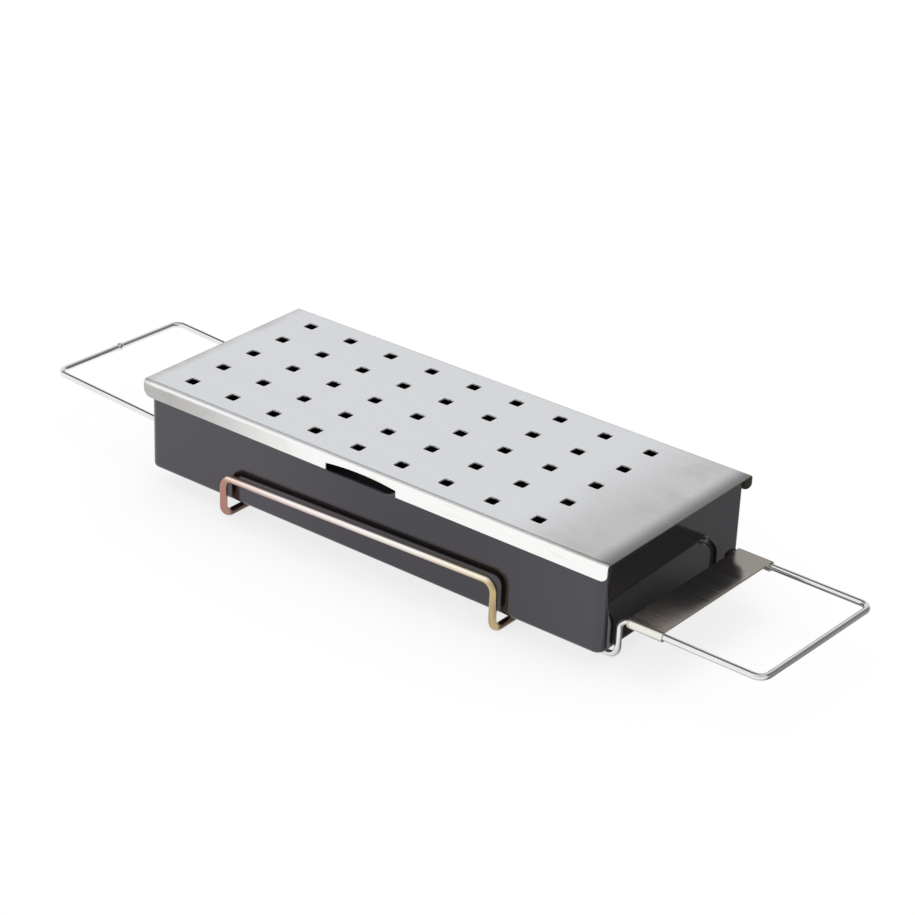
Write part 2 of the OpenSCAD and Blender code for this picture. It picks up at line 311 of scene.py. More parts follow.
def hole_ring(x, y):
    """Outline of one square hole, its sides a little bowed and its corners rounded, from the middle of
    its +x side on."""
    ring, steps = [], 12
    for i in range(4):
        for k in range(steps + 1):
            u = 2 * k / steps - 1
            t = math.radians(90 * i + 45 + 45 * math.copysign(abs(u) ** 2, u))
            c, s = math.cos(t), math.sin(t)
            r = HOLE_SIDE / 2 / (abs(c) ** HOLE_POWER + abs(s) ** HOLE_POWER) ** (1 / HOLE_POWER)
            ring.append((x + r * c, y + r * s))
    return ring


class Surface:
    """Collects faces over shared vertices."""

    def __init__(self):
        self.vertices, self.faces, self.known = [], [], {}

    def point(self, x, y, z):
        """The index of a vertex, which is made when it isn't there yet."""
        key = (round(x, 4), round(y, 4), round(z, 4))
        if key not in self.known:
            self.known[key] = len(self.vertices)
            self.vertices.append((x, y, z))
        return self.known[key]

    def face(self, points):
        """A face through the points, where neighbours that coincide count once."""
        corners = [self.point(*p) for p in points]
        self.faces.append([c for i, c in enumerate(corners) if c != corners[i - 1]])


def lid_columns():
    """X places of the hole cells' borders, and of all the lid's columns of vertices."""
    first = FIRST_COLUMN_X - PITCH_X / 2
    cells = [first + i * PITCH_X for i in range(HOLE_COLUMNS + 1)]
    arch = spread(-NOTCH_L / 2 - NOTCH_SHIFT, NOTCH_L / 2 - NOTCH_SHIFT, 1)
    turn = [FLANGE_CORNER_R * math.sin(math.radians(10 * k)) for k in range(10)]
    ends = [LID_L / 2 - FLANGE_CORNER_R + t for t in turn]
    return cells, sorted({round(x, 4) for x in [*cells, *arch, *ends, *[-x for x in ends]]})


def flange_bottom(x):
    """Height of the flange's lower edge above its lowest line, the notch left out."""
    past = abs(x) - (LID_L / 2 - FLANGE_CORNER_R)
    if past <= 0:
        return 0
    return FLANGE_CORNER_R - math.sqrt(max(FLANGE_CORNER_R**2 - past**2, 0))


def above_corner(x):
    """Height of the flange's middle line, which stays clear of its rounded lower corners."""
    return max(NOTCH_H, flange_bottom(x) + 0.4)


def notch_top(x):
    """Height of the notch's arched top above the flange's lowest line."""
    r = (NOTCH_L**2 / 4 + NOTCH_ARCH**2) / (2 * NOTCH_ARCH)
    return NOTCH_H + NOTCH_ARCH - r + math.sqrt(max(r * r - (x + NOTCH_SHIFT) ** 2, 0))


def hole_cell(surface, x0, x1, y0, y1):
    """Four faces that fill one cell of the lid's top round its square hole."""
    ring = hole_ring((x0 + x1) / 2, (y0 + y1) / 2)
    corners = [(x1, y1), (x0, y1), (x0, y0), (x1, y0)]
    per = len(ring) // 4
    for k in range(4):
        here, after = corners[k], corners[(k + 1) % 4]
        start, end = k * per + per // 2, (k + 1) * per + per // 2
        inner = [ring[m % len(ring)] for m in range(start, end + 1)]
        surface.face([(*p, LID_TOP_Z) for p in [here, *inner, after]])


def build_lid(material):
    """Bent sheet with square holes: the outer surface, thickened inwards."""
    cells, columns = lid_columns()
    surface = Surface()
    cell_w = HOLE_ROWS * PITCH_Y / 2
    flat_w = LID_W / 2 - LID_BEND_R
    flange_z = LID_TOP_Z - FLANGE_H
    bend_z = LID_TOP_Z - LID_BEND_R
    rows = [-cell_w + j * PITCH_Y for j in range(HOLE_ROWS + 1)]
    for x0, x1 in zip(cells, cells[1:]):
        for y0, y1 in zip(rows, rows[1:]):
            hole_cell(surface, x0, x1, y0, y1)
    for x0, x1 in ((-LID_L / 2, cells[0]), (cells[-1], LID_L / 2)):
        for y0, y1 in zip(rows, rows[1:]):
            surface.face([(x, y, LID_TOP_Z) for x, y in ((x0, y0), (x1, y0), (x1, y1), (x0, y1))])
    section = [(flat_w, LID_TOP_Z)]
    for k in range(1, 11):
        t = math.radians(9 * k)
        section.append((flat_w + LID_BEND_R * math.sin(t), bend_z + LID_BEND_R * math.cos(t)))
    borders = [-LID_L / 2, *cells, LID_L / 2]
    for side in (-1, 1):
        for x0, x1 in zip(borders, borders[1:]):
            between = [x for x in columns if x0 - 1e-6 <= x <= x1 + 1e-6]
            surface.face(
                [(x0, side * cell_w, LID_TOP_Z), (x1, side * cell_w, LID_TOP_Z)]
                + [(x, side * flat_w, LID_TOP_Z) for x in reversed(between)]
            )
        for x0, x1 in zip(columns, columns[1:]):
            for (ya, za), (yb, zb) in zip(section, section[1:]):
                ya, yb = side * ya, side * yb
                surface.face([(x0, ya, za), (x1, ya, za), (x1, yb, zb), (x0, yb, zb)])
            y = side * LID_W / 2
            inside = abs((x0 + x1) / 2 + NOTCH_SHIFT) < NOTCH_L / 2
            edge = notch_top if inside else above_corner
            upper = [flange_z + edge(x) for x in (x0, x1)]
            surface.face([(x0, y, bend_z), (x1, y, bend_z), (x1, y, upper[1]), (x0, y, upper[0])])
            if not inside:
                low = [flange_z + flange_bottom(x) for x in (x0, x1)]
                surface.face([(x0, y, upper[0]), (x1, y, upper[1]), (x1, y, low[1]), (x0, y, low[0])])
    piece = make_piece("lid_sheet", surface.vertices, surface.faces, material, "lid", "lid")
    weld_and_orient(piece)
    map_brushing(piece)
    sheet_metal(piece, LID_T, SHEET_EDGE_R)


def build_rail_loop(material):
    """Closed loop of thick wire with the two side rails."""
    x, y = RAIL_X, RAIL_Y
    corners = [
        (-x, -y, RAIL_Z), (-x, -y, RAIL_PLAIN_Z), (x, -y, RAIL_PLATE_Z), (x, -y, RAIL_Z),
        (x, y, RAIL_Z), (x, y, RAIL_PLATE_Z), (-x, y, RAIL_PLAIN_Z), (-x, y, RAIL_Z),
    ]
    points = rounded_loop(corners, [RAIL_BEND_R] * 8)
    points = [p - Vector((RAIL_SHIFT, 0, 0)) for p in points]
    vertices, faces = sweep(points, RAIL_D / 2, 3.0)
    make_piece("rail_wire_loop", vertices, faces, material, "cradle", "rail_loop")


def build_handle_loop(material):
    """Closed loop of wire that runs under the tray and forms both handles."""
    x, y = RISER_X, WIRE_Y
    corners = [
        (-x, -y, WIRE_Z), (x, -y, WIRE_Z), (x, -y, HANDLE_Z),
        (BAR_X - BAR_SKEW, -y, HANDLE_Z), (BAR_X + BAR_SKEW, y, HANDLE_Z),
        (x, y, HANDLE_Z), (x, y, WIRE_Z), (-x, y, WIRE_Z), (-x, y, HANDLE_Z),
        (-BAR_X + BAR_SKEW, y, TIP_Z), (-BAR_X - BAR_SKEW, -y, TIP_Z), (-x, -y, HANDLE_Z),
    ]
    radii = [RISER_BEND_R if abs(corner[0]) == x else BAR_BEND_R for corner in corners]
    vertices, faces = sweep(rounded_loop(corners, radii), WIRE_D / 2, 9.0)
    vertices = as_welded(vertices)
    make_piece("handle_wire_loop", vertices, faces, material, "cradle", "handle_loop")


def build_grip_plate(material):
    """Strip whose two hems curl outwards and under the handle's wires."""
    outer = HEM_R + PLATE_T
    section = [(-WIRE_Y + outer * math.cos(t), HANDLE_Z + outer * math.sin(t)) for t in hem_turns()]
    across = spread(-WIRE_Y, WIRE_Y, 6)
    section += [(y, HANDLE_Z + outer) for y in across[1:-1]]
    section += [(-y, z) for y, z in reversed(section[:HEM_STEPS + 1])]
    columns = spread(PLATE_X, PLATE_X + PLATE_W, 3)
    vertices = [(x, y, z) for x in columns for y, z in section]
    count = len(section)
    faces = []
    for i in range(len(columns) - 1):
        for k in range(count - 1):
            a = i * count + k
            faces.append((a, a + 1, a + 1 + count, a + count))
    vertices = as_welded(vertices)
    piece = make_piece("grip_plate_sheet", vertices, faces, material, "cradle", "grip_plate")
    weld_and_orient(piece)
    map_brushing(piece)
    sheet_metal(piece, PLATE_T, SHEET_EDGE_R)


def hem_turns():
    """Angles round the front wire's centre, from the hem's curled end up to the flat plate."""
    return [math.radians(90 + HEM_WRAP * (1 - k / HEM_STEPS)) for k in range(HEM_STEPS + 1)]


def lumpy(point, centre, amount, seed):
    """Moves a point of a bead in or out a little, as molten metal sets."""
    out = point - centre
    lump = noise.noise(out * 0.9 + Vector((seed, seed * 0.7, 0)))
    return centre + out * (1 + amount * lump)


def build_cross_welds(material):
    """Four beads squeezed out where the loops cross, wider along both wires than between them."""
    turn = math.radians(HANDLE_TURN)
    centre_z = RAIL_D + WELD_GAP / 2
    drawn_in, unevenness = 0.1, 0.05
    bm = bmesh.new()
    for i, x in enumerate((-RAIL_X - RAIL_SHIFT, RAIL_X - RAIL_SHIFT)):
        for j, y in enumerate((-WIRE_Y, WIRE_Y)):
            wire_y = (y - x * math.sin(turn)) / math.cos(turn) - HANDLE_SHIFT
            centre = Vector((x, wire_y, centre_z))
            ball = bmesh.ops.create_icosphere(bm, subdivisions=4, radius=CROSS_BEAD_R)
            for vertex in ball["verts"]:
                p = vertex.co.copy()
                between = abs(math.sin(2 * math.atan2(p.y, p.x))) * math.hypot(p.x, p.y) / CROSS_BEAD_R
                p *= 1 - drawn_in * between
                vertex.co = lumpy(p + centre, centre, unevenness, 3 * i + 7 * j)
    bead_piece("cross_weld_beads", bm, material, "cross_welds")


def bead_piece(name, bm, material, node):
    """A weld bead's mesh as a piece of the cradle."""
    vertices = [v.co.copy() for v in bm.verts]
    faces = [[v.index for v in f.verts] for f in bm.faces]
    bm.free()
    make_piece(name, vertices, faces, material, "cradle", node)


def butt_bead(centre, along, wire_d, seed):
    """Low collar of weld metal round a wire, uneven all round."""
    along = along.normalized()
    across = along.orthogonal().normalized()
    beside = along.cross(across)
    bm = bmesh.new()
    rings = []
    steps, sides = 14, 36
    tuck = 0.12  # how far the bead's ends lie inside the wire
    most = wire_d / 2 + BUTT_BEAD_H - 0.01
    for i in range(steps + 1):
        t = 2 * i / steps - 1
        ring = []
        for k in range(sides):
            a = 2 * math.pi * k / sides
            out = math.cos(a) * across + math.sin(a) * beside
            lump = 0.5 + 0.5 * noise.noise(out * 1.3 + Vector((seed, t, 0)))
            height = BUTT_BEAD_H * (1 - t * t) * (0.72 + 0.28 * lump)
            r = wire_d / 2 - tuck + tuck * min(1, (1 - t * t) * 6) + height
            place = centre + along * (t * BUTT_BEAD_L / 2) + out * min(r, most)
            ring.append(bm.verts.new(place))
        rings.append(ring)
    for low, high in zip(rings, rings[1:]):
        for k in range(sides):
            bm.faces.new((low[k], low[(k + 1) % sides], high[(k + 1) % sides], high[k]))
    bm.faces.new(list(reversed(rings[0])))
    bm.faces.new(rings[-1])
    bm.verts.index_update()
    return bm


def build_handle_weld(material):
    """Bead on the plain handle's end bar."""
    bar = [(BAR_SKEW * y / WIRE_Y - BAR_X, y, TIP_Z) for y in (HANDLE_WELD_Y, HANDLE_WELD_Y + 1)]
    centre, ahead = as_welded(bar)
    bead = butt_bead(centre, ahead - centre, WIRE_D, 5.0)
    bead_piece("handle_weld_bead", bead, material, "handle_loop_weld")


def build_rail_weld(material):
    """Bead in the middle of the back rail."""
    centre = Vector((-RAIL_SHIFT, RAIL_Y, (RAIL_PLAIN_Z + RAIL_PLATE_Z) / 2))
    along = Vector((2 * RAIL_X, 0, RAIL_PLATE_Z - RAIL_PLAIN_Z))
    bead_piece("rail_weld_bead", butt_bead(centre, along, RAIL_D, 11.0), material, "rail_loop_weld")


class Nodes:
    """Short calls for the nodes used here, in the node tree of one material or of the world."""

    def __init__(self, owner, shader, coordinates):
        owner.use_nodes = True
        self.owner, self.tree = owner, owner.node_tree
        self.shader = self.existing(shader)
        self.where = self.add("ShaderNodeTexCoord").outputs[coordinates]

    def existing(self, kind):
        """The node of a kind that the new tree came with."""
        return next(node for node in self.tree.nodes if node.type == kind)

    def add(self, kind, **settings):
        """A new node with these settings."""
        node = self.tree.nodes.new(kind)
        for name, value in settings.items():
            setattr(node, name, value)
        return node

    def feed(self, socket, value):
        """Gives a socket another node's output, a number, a vector, or a colour of three parts."""
        if isinstance(value, bpy.types.NodeSocket):
            self.tree.links.new(value, socket)
        else:
            socket.default_value = (*value, 1) if socket.type == "RGBA" else value

    def fill(self, node, values):
        """Feeds several sockets of a node, by their names."""
        for name, value in values.items():
            self.feed(node.inputs[name], value)

    def stretched(self, scale):
        """The coordinates, scaled per axis."""
        mapping = self.add("ShaderNodeMapping")
        self.fill(mapping, {"Vector": self.where, "Scale": scale})
        return mapping.outputs["Vector"]

    def noise(self, scale, detail, roughness, vector=None, distortion=0.0):
        """Noise from 0 to 1, scale in features per metre."""
        node = self.add("ShaderNodeTexNoise")
        self.fill(node, {
            "Vector": vector or self.where, "Scale": scale, "Detail": detail,
            "Roughness": roughness, "Distortion": distortion,
        })
        return node.outputs["Fac"]

    def span(self, value, low, high, to_low=0.0, to_high=1.0, smooth=False):
        """Maps low..high to to_low..to_high, clamped."""
        curve = "SMOOTHSTEP" if smooth else "LINEAR"
        node = self.add("ShaderNodeMapRange", clamp=True, interpolation_type=curve)
        self.fill(node, {
            "Value": value, "From Min": low, "From Max": high, "To Min": to_low, "To Max": to_high,
        })
        return node.outputs["Result"]

    def zone(self, coordinate, low, high, to_low=0.0, to_high=1.0, smooth=False):
        """Maps a coordinate as span does, with low and high in millimetres."""
        return self.span(coordinate, low * MM, high * MM, to_low, to_high, smooth)

    def axis(self, name):
        """One coordinate, in metres."""
        node = self.add("ShaderNodeSeparateXYZ")
        self.feed(node.inputs["Vector"], self.where)
        return node.outputs[name]

    def away(self, coordinate, place):
        """How far a coordinate lies from a place in millimetres, either way."""
        return self.math("ABSOLUTE", self.math("SUBTRACT", coordinate, place * MM))

    def math(self, operation, *values):
        """A number worked out from one or two others."""
        node = self.add("ShaderNodeMath", operation=operation)
        for socket, value in zip(node.inputs, values):
            self.feed(socket, value)
        return node.outputs["Value"]

    def times(self, a, b):
        return self.math("MULTIPLY", a, b)

    def plus(self, a, b):
        return self.math("ADD", a, b)

    def ramp(self, value, stops):
        """Colour ramp over value. stops are (place, colour)."""
        node = self.add("ShaderNodeValToRGB")
        elements = node.color_ramp.elements
        while len(elements) < len(stops):
            elements.new(0.5)
        for element, (place, colour) in zip(elements, stops):
            element.position = place
            element.color = (*colour, 1)
        self.feed(node.inputs["Fac"], value)
        return node.outputs["Color"]

    def mix(self, factor, a, b):
        """Colour a, turning into b as factor goes to 1."""
        return self.blend(self.add("ShaderNodeMix", data_type="RGBA"), "RGBA", factor, a, b)

    def choose(self, factor, a, b):
        """Number a, turning into b as factor goes to 1."""
        return self.blend(self.add("ShaderNodeMix", data_type="FLOAT"), "VALUE", factor, a, b)

    def blend(self, node, kind, factor, a, b):
        """Feeds a mixing node whose two inputs and output are of one kind."""
        sockets = [s for s in node.inputs if s.type == kind and s.name in ("A", "B")]
        for socket, value in zip(sockets, (a, b)):
            self.feed(socket, value)
        self.feed(node.inputs["Factor"], factor)
        return next(s for s in node.outputs if s.type == kind)

    def bump(self, height, distance, strength, under=None):
        """Bump of a height from 0 to 1 over a distance in millimetres, on top of another bump."""
        node = self.add("ShaderNodeBump")
        self.fill(node, {"Height": height, "Distance": distance * MM, "Strength": strength})
        if under is not None:
            self.feed(node.inputs["Normal"], under)
        return node.outputs["Normal"]

    def finish(self, colour, roughness, normal, **values):
        """Feeds the shader and gives back the material. values are its other sockets."""
        self.fill(self.shader, {"Base Color": colour, "Roughness": roughness, "Normal": normal})
        self.fill(self.shader, {name.replace("_", " "): value for name, value in values.items()})
        return self.owner


def material_nodes(name):
    """The nodes of a new material, over object coordinates."""
    return Nodes(bpy.data.materials.new(name), "BSDF_PRINCIPLED", "Object")


def enamel():
    """Near-black gloss enamel: fine orange peel, slow waves, faint wiped streaks and a few dust specks.
    It is rougher in the finger recesses, where painted shade makes it dark, has a painted highlight
    along the recesses' borders, and mirrors a little less near the middle of its length."""
    n = material_nodes("enamel")
    peel = n.noise(760, 2, 0.5)
    wave = n.noise(30, 2, 0.5, n.stretched((0.5, 0.5, 1.0)))
    streak = n.noise(16, 4, 0.6, n.stretched((0.6, 0.6, 2.2)), 0.6)
    speck = n.span(n.noise(800, 1, 0.5), 0.79, 0.82)
    colour = n.mix(n.span(streak, 0.35, 0.7), (0.009, 0.0085, 0.0088), (0.0125, 0.012, 0.0125))
    colour = n.mix(n.times(speck, 0.3), colour, (0.2, 0.2, 0.2))
    rough = n.plus(n.span(streak, 0.3, 0.75, 0.07, 0.12), n.span(peel, 0.3, 0.7, 0.0, 0.03))
    wall = TRAY_W / 2
    off = n.math("ABSOLUTE", n.axis("Y"))
    pressed = n.zone(off, wall - 1.5, wall - 0.15, 1.0, 0.0)
    half = RECESS_STRAIGHT / 2 + RECESS_R
    near = n.zone(n.away(n.axis("X"), -RECESS_SHIFT), half, half + 1, 1.0, 0.0)
    around = n.times(near, n.zone(n.axis("Z"), RIM_Z - 11, RIM_Z - 10))
    # painted shade: the recesses are darkened, as the lid's flange shades them and they mirror its dark
    # underside
    hollow = n.times(pressed, around)
    colour = n.mix(hollow, colour, (0.005, 0.004, 0.005))
    rough = n.plus(rough, n.times(hollow, 0.3))
    # painted highlight: a pale line along the recesses' borders
    lip_highlight = n.zone(n.away(off, wall - 0.12), 0.03, 0.12, 0.5, 0.0)
    colour = n.mix(n.times(lip_highlight, around), colour, (0.09, 0.085, 0.09))
    dulled = n.zone(n.away(n.axis("X"), 35), 20, 100, 0.2, 0.0, True)
    n.feed(n.shader.inputs["Metallic"], n.math("MAXIMUM", n.times(hollow, 0.9), dulled))
    normal = n.bump(peel, 0.006, 0.4, n.bump(wave, 0.05, 0.5))
    return n.finish(colour, rough, normal, IOR=1.81, Specular_Tint=(0.93, 0.885, 1.0))


def brushed(name, base, dark, stain, rough, relief):
    """Steel brushed along X: streaks in colour, roughness and bump, and faint clouds of stain.
    relief is the strength of the bump."""
    n = material_nodes(name)
    hair = n.noise(1.0, 2, 0.6, n.stretched((18, 2600, 2600)))
    streak = n.noise(1.0, 3, 0.55, n.stretched((7, 620, 620)))
    broad = n.noise(1.0, 3, 0.5, n.stretched((4, 70, 70)))
    cloud = n.noise(13, 4, 0.55)
    colour = n.mix(n.span(streak, 0.25, 0.75), dark, base)
    colour = n.mix(n.span(broad, 0.3, 0.75, 0.0, 0.35), colour, base)
    colour = n.mix(n.span(cloud, 0.56, 0.78, 0.0, 0.3, True), colour, stain)
    roughness = n.span(streak, 0.2, 0.8, rough - 0.04, rough + 0.04)
    roughness = n.plus(roughness, n.span(hair, 0.2, 0.8, 0.0, 0.04))
    normal = n.bump(hair, 0.001, relief, n.bump(streak, 0.004, relief))
    tangent = n.add("ShaderNodeTangent", direction_type="UV_MAP", uv_map="brushing")
    n.feed(n.shader.inputs["Tangent"], tangent.outputs["Tangent"])
    return n, colour, roughness, normal


def lid_steel():
    """Satin brushed sheet. Its top has painted shade and stains towards the plate end, and is darkest at
    the end.
    Its flanges have a painted sheen, with straw tints, and are darker and smudged towards the plain end."""
    n, colour, roughness, normal = brushed(
        "lid_steel", (0.88, 0.89, 0.915), (0.815, 0.825, 0.85), (0.85, 0.84, 0.83), 0.27, 0.5
    )
    x, y, z = n.axis("X"), n.axis("Y"), n.axis("Z")
    across = n.math("ABSOLUTE", y)
    end, side, top = LID_L / 2, LID_W / 2, LID_TOP_Z
    # Plate end of the top
    patches = n.span(n.noise(30, 4, 0.6, n.stretched((1, 1.6, 1.6))), 0.46, 0.7, 0, 0.45, True)
    end_stain = n.times(n.zone(x, end - 62, end - 7, 0, 1, True), patches)
    colour = n.mix(end_stain, colour, (0.55, 0.5, 0.44))
    flat = n.zone(z, top - 0.3, top - 0.02)
    # painted shade: the top darkens towards the plate end, as the light falls off there
    end_shade = n.times(n.zone(x, end - 57, end - 16, 0, 0.6, True), flat)
    end_shade = n.times(end_shade, n.zone(y, -10, 50, 1.1, 0.75))
    colour = n.mix(end_shade, colour, (0.56, 0.555, 0.55))
    last = n.times(n.zone(x, end - 10.5, end, 0, 0.95, True), flat)
    colour = n.mix(last, colour, (0.18, 0.18, 0.19))
    # Flanges
    outside = n.zone(across, side - 0.65, side - 0.35)
    flange = n.times(n.zone(z, top - 0.3, top - 1.1), n.zone(across, side - 1.9, side - 1.6))
    flange = n.times(flange, n.math("MAXIMUM", outside, n.zone(z, top - 2.1, top - 1.9)))
    # painted sheen: the flanges are painted paler than the top of the same sheet
    bright = n.mix(n.span(n.noise(26, 3, 0.55), 0.35, 0.7), (0.99, 0.99, 0.985), (0.975, 0.97, 0.95))
    colour = n.mix(n.times(flange, 0.95), colour, bright)
    low = n.zone(z, top - 1.3, top - 2.5)
    toward_plain = n.times(n.zone(x, -20, 17 - end, 0, 0.85, True), low)
    colour = n.mix(toward_plain, colour, (0.435, 0.425, 0.415))
    smudge = n.times(toward_plain, n.span(n.noise(55, 4, 0.6), 0.45, 0.62, 0, 0.35, True))
    colour = n.mix(smudge, colour, (0.36, 0.35, 0.33))
    straw = n.span(n.noise(1.0, 2, 0.5, n.stretched((50, 900, 900))), 0.6, 0.7, 0, 0.45)
    straw = n.times(straw, n.times(flange, n.span(n.noise(17, 2, 0.5), 0.5, 0.6)))
    colour = n.mix(straw, colour, (0.83, 0.68, 0.36))
    # Plain end, cut edges, and painted shade on the underside
    cloudy = n.span(n.noise(60, 3, 0.5), 0.3, 0.6)
    plain_end = n.times(n.zone(x, 6 - end, 0.5 - end, 0, 0.55, True), cloudy)
    colour = n.mix(plain_end, colour, (0.5, 0.48, 0.45))
    colour = n.mix(n.zone(x, 0.9 - end, -end, 0, 0.5), colour, (0.5, 0.46, 0.38))
    colour = n.mix(n.zone(x, end - 0.3, end - 0.05, 0, 0.85), colour, (0.42, 0.38, 0.29))
    # painted shade on the sheet's underside
    below = n.times(n.zone(z, top - 0.6, top - 0.75), n.zone(across, side - 0.4, side - 0.6))
    colour = n.mix(below, colour, (0.2, 0.19, 0.16))
    # Bends
    bend = n.times(n.zone(z, top - 0.002, top - 0.04), n.zone(across, side - 0.6, side - 0.3, 1.0, 0.0))
    roughness = n.plus(roughness, n.times(bend, 0.36))
    return n.finish(colour, roughness, normal, Metallic=1.0, Anisotropic=0.6)


def plate_steel():
    """Dark brushed strip, with a painted sheen towards the front, painted shade towards the back, hems
    painted paler as a highlight, and gold tints at its cut edges.
    """
    n, colour, roughness, normal = brushed(
        "plate_steel", (0.4, 0.385, 0.365), (0.3, 0.29, 0.27), (0.36, 0.32, 0.27), 0.12, 0.06
    )
    y = n.axis("Y")
    # painted sheen: lighter towards the front
    toward_front = n.zone(y, -10, -40, 0, 1, True)
    colour = n.mix(toward_front, colour, (0.56, 0.49, 0.45))
    roughness = n.plus(roughness, n.times(toward_front, 0.14))
    # painted shade: darker towards the back, where it tones down the corner's highlight
    colour = n.mix(n.zone(y, 10, 35, 0, 0.6, True), colour, (0.3, 0.265, 0.235))
    # painted highlight: the curled hems are painted paler than the flat strip
    hem = n.zone(n.axis("Z"), HANDLE_Z + 2.3, HANDLE_Z + 1.9)
    colour = n.mix(hem, colour, (0.88, 0.865, 0.8))
    half = PLATE_W / 2
    near_edge = n.zone(n.away(n.axis("X"), PLATE_X + half), half - 0.9, half, 0, 0.7)
    tint = n.times(near_edge, n.span(n.noise(60, 2, 0.5), 0.3, 0.6))
    colour = n.mix(tint, colour, (0.5, 0.41, 0.22))
    return n.finish(colour, roughness, normal, Metallic=1.0, Anisotropic=0.6)


def handle_chrome():
    """Bright plated wire with faint duller patches. The back riser by the grip plate has painted dark
    brown shade, for the dark end wall that it mirrors.
    """
    n = material_nodes("handle_chrome")
    patch = n.noise(60, 3, 0.55)
    fine = n.noise(700, 2, 0.5)
    colour = n.mix(n.span(patch, 0.35, 0.7), (0.84, 0.845, 0.85), (0.77, 0.77, 0.765))
    x = n.axis("X")
    # painted shade: the back riser is darkened for the dark end wall that it mirrors
    riser = n.times(n.zone(x, 137.2, 136.2), n.zone(x, 126, 129))
    riser_shade = n.times(riser, n.zone(n.axis("Y"), 30, 34, 0, 0.9))
    colour = n.mix(riser_shade, colour, (0.2, 0.14, 0.07))
    rough = n.plus(n.span(patch, 0.3, 0.7, 0.04, 0.08), n.span(fine, 0.3, 0.7, 0.0, 0.03))
    normal = n.bump(fine, 0.004, 0.3, n.bump(patch, 0.03, 0.25))
    return n.finish(colour, rough, normal, Metallic=1.0)


def rail_chrome():
    """Plated wire with a heat tint: copper at the plain end, pale in the middle, brass at the plate end.
    A painted highlight runs along the rails above their middle, under a painted dark band, and the tint
    is strongest on the underside, which also has painted shade. The risers are stained, and the crossing
    wires under the tray have painted dark brown shade."""
    n = material_nodes("rail_chrome")
    patch = n.noise(45, 3, 0.6)
    fine = n.noise(650, 2, 0.5)
    x, z = n.axis("X"), n.axis("Z")
    shifted = n.plus(x, n.span(patch, 0.2, 0.8, -0.01, 0.01))
    place = n.zone(shifted, -RAIL_X - RAIL_SHIFT - 4, RAIL_X - RAIL_SHIFT + 4)
    tint = n.ramp(place, [
        (0.0, (0.66, 0.4, 0.29)), (0.08, (0.74, 0.56, 0.47)), (0.25, (0.86, 0.78, 0.76)),
        (0.7, (0.9, 0.86, 0.82)), (0.93, (0.84, 0.74, 0.52)), (1.0, (0.76, 0.63, 0.38)),
    ])
    under = n.ramp(place, [
        (0.0, (0.4, 0.2, 0.15)), (0.3, (0.55, 0.38, 0.37)),
        (0.6, (0.66, 0.56, 0.5)), (1.0, (0.5, 0.38, 0.16)),
    ])
    slope = (RAIL_PLATE_Z - RAIL_PLAIN_Z) / (2 * RAIL_X)
    middle = n.plus(n.times(x, slope), (RAIL_PLAIN_Z + RAIL_PLATE_Z) / 2 * MM)
    depth = n.math("SUBTRACT", middle, z)
    # the underside keeps the heat tint and also gets painted shade
    colour = n.mix(n.zone(depth, -0.4, 0.6, 0.0, 0.85), tint, under)
    # painted shade: a dark band along the top of the wire, for the dark overhead that it mirrors
    colour = n.mix(n.zone(depth, -1.2, -1.6, 0.0, 0.35), colour, under)
    # painted highlight along the rails above their middle
    highlight_line = n.zone(n.away(depth, -0.9), 0.1, 0.4, 0.75, 0.0)
    colour = n.mix(highlight_line, colour, (0.97, 0.965, 0.96))
    leg = n.span(n.noise(1.0, 3, 0.6, n.stretched((300, 300, 60))), 0.45, 0.62, 0, 0.6)
    colour = n.mix(n.times(leg, n.zone(z, 19, 14)), colour, (0.36, 0.2, 0.22))
    # painted shade: the crossing wires under the tray are darkened, for the dark underside that they
    # mirror
    under_tray_shade = n.zone(n.math("ABSOLUTE", n.axis("Y")), RAIL_Y - 4, RAIL_Y - 1.5, 0.93, 0.0)
    colour = n.mix(under_tray_shade, colour, (0.1, 0.065, 0.05))
    rough = n.plus(n.span(patch, 0.3, 0.7, 0.05, 0.09), n.span(fine, 0.3, 0.7, 0.0, 0.03))
    normal = n.bump(fine, 0.004, 0.35, n.bump(patch, 0.03, 0.3))
    return n.finish(colour, rough, normal, Metallic=1.0)


def weld_metal():
    """Uneven bead with brown heat tint. The bead on the plain handle is plated over and bright."""
    n = material_nodes("weld_metal")
    lump = n.noise(520, 3, 0.6)
    patch = n.noise(170, 2, 0.5)
    colour = n.ramp(n.span(patch, 0.3, 0.7), [
        (0.0, (0.6, 0.55, 0.5)), (0.6, (0.5, 0.42, 0.34)), (1.0, (0.36, 0.29, 0.24)),
    ])
    plated = n.zone(n.axis("X"), -180, -190)
    colour = n.mix(plated, colour, (0.8, 0.8, 0.8))
    rough = n.math("SUBTRACT", n.span(lump, 0.3, 0.7, 0.18, 0.34), n.times(plated, 0.08))
    return n.finish(colour, rough, n.bump(lump, 0.05, 0.6), Metallic=1.0)


def point_camera():
    """The photograph's camera, solved from the lid's grid of holes."""
    azimuth, elevation, roll = (math.radians(a) for a in (36.867, 27.093, 2.544))
    distance, target = 1200.06, Vector((25.35, -20.05, 53.7))
    level = math.cos(elevation)
    back = Vector((math.sin(azimuth) * level, -math.cos(azimuth) * level, math.sin(elevation)))
    right = (-back).cross(Vector((0, 0, 1))).normalized()
    up = right.cross(-back)
    c, s = math.cos(roll), math.sin(roll)
    right, up = c * right + s * up, c * up - s * right
    data = bpy.data.cameras.new("camera")
    data.lens, data.sensor_width = 106.67, 36
    data.clip_start, data.clip_end = 0.05, 50
    camera = bpy.data.objects.new("camera", data)
    turned = Matrix((right, up, back)).transposed().to_4x4()
    camera.matrix_world = Matrix.Translation((target + distance * back) * MM) @ turned
    bpy.context.scene.collection.objects.link(camera)
    bpy.context.scene.camera = camera


